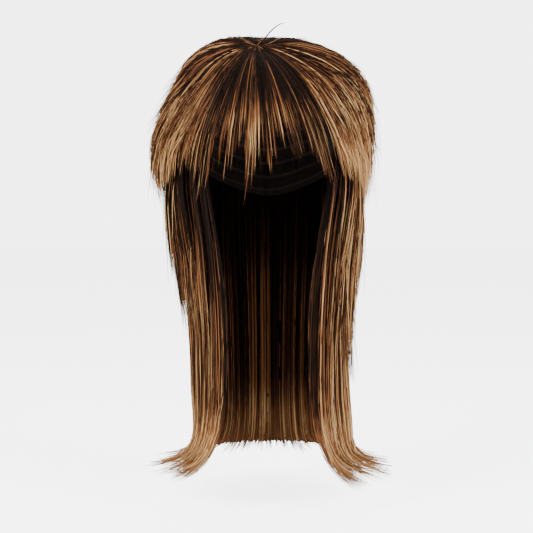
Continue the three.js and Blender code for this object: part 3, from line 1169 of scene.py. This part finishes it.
class WIG_OT_crown(bpy.types.Operator):
    """Make the crown: locks that radiate from the whorl over the dome of the head"""

    bl_idname = "wig.crown"
    bl_label = "Crown"

    def execute(self, context):
        count = context.scene.wig_sizes.crown_strands
        nodes = ["crown_hair"]
        dome_body("crown_body", CROWN_HEM, CROWN_BODY, nodes)
        for side, given in CROWN_SIDES.items():
            for place, (layer, fall) in enumerate(CROWN_LAYERS.items()):
                cut = {**CROWN_CUT, **given, **fall}
                some = int(cut["amount"] * count)
                dome_strands(f"crown_{layer}_{side}", CROWN_HEM, some, cut, cut["seed"] + place, nodes)
        return {"FINISHED"}


class WIG_OT_fringe(bpy.types.Operator):
    """Make the fringe: thin front strands with one longer lock"""

    bl_idname = "wig.fringe"
    bl_label = "Fringe"

    def execute(self, context):
        count = context.scene.wig_sizes.fringe_strands
        nodes = ["fringe"]
        dome_body("fringe_body", FRINGE_HEM, FRINGE_BODY, nodes)
        dome_strands("fringe_strands", FRINGE_TIPS, count, FRINGE_CUT, FRINGE_CUT["seed"], nodes)
        return {"FINISHED"}


def panel_body(name, tier, side, locks, cut, seed, nodes):
    """The combed body of a hanging panel, just under its strands."""
    rng = np.random.default_rng(seed)
    hem = PANEL_NOTCH[side]
    run = lock_run(rng, 2 * locks, hem["notch"], hem["ragged"]) * PANEL_BODY["length"]
    first, last = panel_span(tier, side)
    first += PANEL_BODY["inset"] if side == "left" else 0.0
    last -= PANEL_BODY["inset"] if side == "right" else 0.0

    def place(column, columns, row, outside, opened):
        share = run[column] * row
        azimuth = first + (last - first) * column / columns
        ridge = PANEL_BODY["ridge"] * np.where(column % 2, 1, -1) * np.minimum(1, 2 * share)
        under = PANEL_BODY["under"] * ease(share, *PANEL_BODY["sinking"])
        tuck = cut["tuck"] * ease(share, *TUCKING)

        def height(outer, inner):
            cover = outer - under + ridge - tuck
            inside = np.minimum(inner + PANEL_BODY["above_inside"], cover - PANEL_BODY["thinnest"])
            return np.where(outside, cover, cover + (inside - cover) * opened)

        return panel_point(tier, side, azimuth, share, height)

    return lock_sheet(name, locks, PANEL_BODY["rows"], place, nodes)


def panel_strands(name, tier, side, count, cut, seed, nodes):
    """Strands of a hanging panel, gathered in locks that narrow to their tips.

    Some lie within the panel, on its inner face, darkened as painted shade, and some cover its front
    edge.
    """
    rng = np.random.default_rng(seed)
    count = amount(count)
    first, last = panel_span(tier, side)
    gathered = gather_locks(rng, count, (first, last), cut, PANEL)
    lock, lock_azimuth, lock_reach, lock_depth = gathered
    locks = len(lock_reach)
    lock_rise = cut["rise"] * rng.uniform(PANEL["lowest"][side], PANEL["highest"], locks)
    short = rng.random(locks) < cut["short"]
    lock_reach = lock_reach * np.where(short, rng.uniform(*PANEL["short_ends"], locks), 1.0)
    lock_stand = np.where(short, rng.uniform(*PANEL["short_stand"], locks), 0.0)
    within = rng.random(count) < cut["within"]
    # Strands on the inner face are darkened as painted shade on the hair's inside.
    tone = strand_tones(rng, lock, locks, cut) - PANEL["painted_shade_within"] * within[:, None]

    start = rng.uniform(0.0, PANEL["latest"], count)
    end = lock_reach[lock] * (1 + rng.normal(0, PANEL["strand_uneven"], count))
    along = steps_to_tip(cut["rings"], PANEL["closing"])
    share = start[:, None] + (end - start)[:, None] * along
    aside = wander(rng, share, PANEL["waves"], cut)
    at_edge = rng.random(count) < (0.0 if side == "back" else cut["at_edge"])
    near_edge = np.abs(rng.normal(0, PANEL["edge_width"], count))
    inset = np.where(at_edge, near_edge, np.abs(rng.normal(0, PANEL["face_width"], count)))
    edge = first + inset if side == "left" else last - inset
    to_face = within & (side != "back") & (rng.random(count) < PANEL["within_to_face"])
    middle = np.where(at_edge | to_face, edge, lock_azimuth[lock])[:, None]
    azimuth = np.clip(middle + aside, first - PANEL["overhang"], last + PANEL["overhang"])

    depth = (lock_depth[lock] + rng.uniform(*PANEL["strand_depth"], count))[:, None]
    flick = (cut["flick"] * rng.random(locks) ** 2)[lock][:, None] * share**8
    stand = (lock_stand[lock] + rng.random(count) ** 3)[:, None]
    flick = flick + cut["feather"] * stand * ease(along, *PANEL["feathering"])
    level = rng.random((count, 1))
    flare = 1 + cut["flare"] * ease(share, *PANEL["flaring"])
    tuck = cut["tuck"] * ease(share, *TUCKING)
    under = depth + PANEL["root_under"] * (1 - ease(share, *PANEL["surfacing"]))

    def height(outer, inner):
        outer = np.minimum(outer * flare, FURTHEST) - tuck
        outside = np.maximum(outer - under + flick, inner - cut["tuck"])
        across_edge = outer + (inner - outer) * level + flick
        inside = inner + PANEL["within_gap"] - PANEL["within_depth"] * level
        return np.where(at_edge[:, None], across_edge, np.where(within[:, None], inside, outside))

    paths = panel_point(tier, side, azimuth, share, height)
    paths[..., 2] += lock_rise[lock][:, None] * share**4
    width = bpy.context.scene.wig_sizes.strand_width * rng.uniform(*PANEL["width"], count)
    fall = np.clip((-CROWN_TO_EAR - paths[..., 2]) / HANGING_LENGTH, 0.0, 1.0)
    lightest = LIGHT_ENDS + (1 - LIGHT_ENDS) * ease(fall, LIGHT_ENDS, 1.0)
    # Panel tops start dark: the hair's dark roots and painted shade under the crown's hem.
    reach = np.minimum(cut["grown"] + (1 - cut["grown"]) * fall, lightest)
    reach = reach + PANEL["own_tip"] * along**4
    return strand_piece(name, paths, along, width, tone, reach, nodes)


class WIG_OT_tiers(bpy.types.Operator):
    """Make the three hanging tiers, each in a left, a back and a right panel"""

    bl_idname = "wig.tiers"
    bl_label = "Hanging tiers"

    def execute(self, context):
        count = context.scene.wig_sizes.panel_strands
        seed = FIRST_TIER_SEED
        for tier_name, cut in TIER_CUTS.items():
            tier = TIERS[tier_name]
            for side in ("left", "back", "right"):
                stem = f"{tier_name}_hair_{side}"
                wide = BACK_WIDTH if side == "back" else 1.0
                full = LONG_SIDE_FULLNESS if tier_name == "long" and side != "back" else 1.0
                locks = int(PANEL_BODY["locks"] * wide)
                some = int(count * wide * full)
                given = {**ALL_TIERS, **cut, "grown": PAST_ROOTS_AND_SHADE[side]}
                given["lighter"] += LIGHTER[tier_name][side]
                panel_body(f"{stem}_body", tier, side, locks, given, seed, [stem])
                panel_strands(f"{stem}_strands", tier, side, some, given, seed + 1, [stem])
                seed += 2
        return {"FINISHED"}


def flyaway_hairs(rng, count, along):
    """Hairs that stand off the crown, and how far from the whorl they are."""
    one_each = (count, 1)
    start = rng.uniform(*FLYAWAYS["starts"], count)[:, None]
    share = start + rng.uniform(*FLYAWAYS["lengths"], one_each) * along
    azimuth = rng.uniform(*FLYAWAYS["span"], one_each)
    azimuth = azimuth + rng.normal(0, FLYAWAYS["turn"], one_each) * along**2
    azimuth = np.clip(azimuth, *FLYAWAYS["within"])
    most = rng.gamma(FLYAWAY_STAND["shape"], FLYAWAY_STAND["scale"], one_each)
    stand = np.minimum(most, FLYAWAY_STAND["most"]) * along ** FLYAWAY_STAND["curl"]

    def height(lift, seat):
        return lift - FLYAWAY_STAND["root"] + stand

    return dome_point(CROWN_HEM, azimuth, share, height), share


def stray_hairs(rng, along):
    """Hairs that stand off the two shorter tiers at the sides."""
    one_each = (STRAYS["per_panel"], 1)
    strays = []
    for tier in (TIERS["upper"], TIERS["lower"]):
        for side in ("left", "right"):
            first, last = panel_span(tier, side)
            start = rng.uniform(*STRAYS["starts"], one_each)
            share = start + rng.uniform(*STRAYS["lengths"], one_each) * along
            azimuth = rng.uniform(first, last, one_each)
            azimuth = azimuth + rng.normal(0, STRAYS["turn"], one_each) * along
            azimuth = np.clip(azimuth, first + STRAYS["inset"], last - STRAYS["inset"])
            stand = rng.gamma(STRAY_STAND["shape"], STRAY_STAND["scale"], one_each) * along
            off = STRAY_STAND["root"] + stand
            strays.append(panel_point(tier, side, azimuth, share, lambda outer, inner: outer + off))
    return np.concatenate(strays)


def fuzz_hairs(rng, along):
    """Short hairs all over the crown, and how far from the whorl they are."""
    one_each = (FUZZ["count"], 1)
    stand = rng.uniform(*FUZZ["stand"], one_each) * along
    start = rng.uniform(*FUZZ["starts"], one_each)
    share = start + rng.uniform(*FUZZ["lengths"], one_each) * along
    azimuth = rng.uniform(*FLYAWAYS["span"], one_each)
    azimuth = azimuth + rng.normal(0, FUZZ["turn"], one_each) * along
    return dome_point(CROWN_HEM, azimuth, share, lambda lift, seat: lift - FUZZ_ROOT + stand), share


def tuft_hairs(rng, along):
    """Short straight hairs that stand up round the whorl."""
    one_each = (TUFTS["count"], 1)
    tufts = []
    for hem in (CROWN_HEM, FRINGE_TIPS):
        low, high = hem["azimuth"][0], hem["azimuth"][-1]
        azimuth = rng.uniform(low, high, one_each)
        start = rng.uniform(*TUFTS["starts"], one_each)
        turned = np.clip(azimuth + rng.normal(0, TUFTS["turn"], one_each), low, high)
        rise = TUFTS["tip"] + rng.gamma(TUFT_STAND["shape"], TUFT_STAND["scale"], one_each)
        end = start + rng.uniform(*TUFTS["lengths"], one_each)
        foot = dome_point(hem, azimuth, start, lambda lift, seat: lift + TUFTS["foot"])
        tip = dome_point(hem, turned, end, lambda lift, seat: lift + rise)
        tufts.append(foot + (tip - foot) * along[:, None])
    return np.concatenate(tufts)


def long_stray(along):
    """The one long hair that stands up at the whorl."""
    rows = np.arange(len(LONG_STRAY["x"]))
    bend = [smooth(rows, LONG_STRAY[axis], rows[-1] * along, level=False) for axis in "xyz"]
    return np.stack(bend, axis=-1)[None]


class WIG_OT_loose(bpy.types.Operator):
    """Make the loose hairs: flyaways, strays, fuzz, short ones at the whorl and one long stray"""

    bl_idname = "wig.loose"
    bl_label = "Loose hairs"

    def execute(self, context):
        sizes = context.scene.wig_sizes
        rng = np.random.default_rng(LOOSE["seed"])
        count = amount(sizes.loose_strands)
        along = steps_to_tip(LOOSE["rings"], LOOSE["closing"])
        flyaways, flyaway_reach = flyaway_hairs(rng, count, along)
        strays = stray_hairs(rng, along)
        fuzz, fuzz_reach = fuzz_hairs(rng, along)
        tufts = tuft_hairs(rng, along)
        paths = np.concatenate([flyaways, strays, fuzz, tufts, long_stray(along)])

        width = sizes.strand_width * LOOSE["width"] * rng.uniform(*LOOSE["vary"], len(paths))
        width[-1 - len(tufts) : -1] *= TUFT_WIDTH
        width[-1] = sizes.strand_width * LONG_STRAY_WIDTH
        tone = np.concatenate(
            [
                shade_tones(rng, count),
                shade_tones(rng, len(strays)) + STRAYS["lighter"],
                rng.uniform(*FUZZ_TONES, len(fuzz)),
                rng.choice(TUFT_TONES["tone"], len(tufts), p=TUFT_TONES["share"]),
                [LONG_STRAY_TONE],
            ]
        )
        tone = np.repeat(tone[:, None], 3, axis=1)
        reach = np.full(paths.shape[:2], LOOSE["reach"])
        reach[:count] = flyaway_reach
        first_fuzz = count + len(strays)
        reach[first_fuzz : first_fuzz + len(fuzz)] = fuzz_reach
        strand_piece("loose_hairs", paths, along, width, tone, reach, [])
        return {"FINISHED"}


def area_light(name, place, aim, size, power, tint):
    light = bpy.data.lights.new(name, "AREA")
    light.shape = "DISK"
    light.size = size
    light.energy = power
    light.color = tint
    lamp = bpy.data.objects.new(name, light)
    lamp.location = place
    lamp.rotation_euler = (Vector(aim) - Vector(place)).to_track_quat("-Z", "Y").to_euler()
    bpy.context.scene.collection.objects.link(lamp)


class WIG_OT_stage(bpy.types.Operator):
    """Make the pale floor, the soft studio light and the camera"""

    bl_idname = "wig.stage"
    bl_label = "Stage"

    def execute(self, context):
        scene = context.scene
        bm = bmesh.new()
        bmesh.ops.create_grid(bm, x_segments=1, y_segments=1, size=FLOOR_HALF_WIDTH)
        bmesh.ops.translate(bm, verts=bm.verts[:], vec=(0, 0, FLOOR_LEVEL))
        mesh = mesh_from(bm, "floor")
        material, tree, shader = new_material("Pale floor", 0.9, 0.1)
        shader.inputs["Base Color"].default_value = (0.85, 0.85, 0.85, 1)
        shader.inputs["Emission Color"].default_value = (1, 1, 1, 1)
        glow = combine(tree, "MULTIPLY", (node(tree, "ShaderNodeLightPath"), "Is Camera Ray"))
        glow.inputs[1].default_value = FLOOR_GLOW
        wire(tree, glow, "Value", shader, "Emission Strength")
        mesh.materials.append(material)
        floor = bpy.data.objects.new("floor", mesh)
        scene.collection.objects.link(floor)

        world = bpy.data.worlds.new("Studio")
        world.use_nodes = True
        tree = world.node_tree
        sky = tree.nodes["Background"]
        sky.inputs["Color"].default_value = (1, 1, 1, 1)
        light_path = node(tree, "ShaderNodeLightPath")
        strength = remap(tree, light_path, "Is Camera Ray", (0.0, 1.0), SKY_STRENGTH)
        wire(tree, strength, "Result", sky, "Strength")
        scene.world = world
        for name, given in LIGHTS.items():
            area_light(name, **given)

        lens = bpy.data.cameras.new("camera")
        lens.lens = CAMERA["lens"]
        lens.sensor_width = CAMERA["sensor"]
        camera = bpy.data.objects.new("camera", lens)
        camera.location = CAMERA["place"]
        aim = Vector(CAMERA["aim"])
        camera.rotation_euler = (aim - camera.location).to_track_quat("-Z", "Y").to_euler()
        scene.collection.objects.link(camera)
        scene.camera = camera
        return {"FINISHED"}


class WIG_PT_panel(bpy.types.Panel):
    """Sidebar panel that lists the wig's pieces"""

    bl_label = "Wig"
    bl_idname = "WIG_PT_panel"
    bl_space_type = "VIEW_3D"
    bl_region_type = "UI"
    bl_category = "Wig"

    def draw(self, context):
        column = self.layout.column()
        for group in (context.scene.wig_sizes, context.scene.wig_colours):
            for name in group.__annotations__:
                column.prop(group, name)
        for operator in OPERATORS:
            column.operator(operator.bl_idname)


GROUPS = (WigSizes, WigColours)
OPERATORS = (WIG_OT_cap, WIG_OT_crown, WIG_OT_fringe, WIG_OT_tiers, WIG_OT_loose, WIG_OT_stage)
CLASSES = (*GROUPS, *OPERATORS, WIG_PT_panel)


def register():
    for made in CLASSES:
        bpy.utils.register_class(made)
    bpy.types.Scene.wig_sizes = PointerProperty(type=WigSizes)
    bpy.types.Scene.wig_colours = PointerProperty(type=WigColours)


def unregister():
    del bpy.types.Scene.wig_colours
    del bpy.types.Scene.wig_sizes
    for made in reversed(CLASSES):
        bpy.utils.unregister_class(made)


def main():
    register()
    bpy.ops.wig.cap()
    bpy.ops.wig.crown()
    bpy.ops.wig.fringe()
    bpy.ops.wig.tiers()
    bpy.ops.wig.loose()
    bpy.ops.wig.stage()


if __name__ == "__main__":
    main()
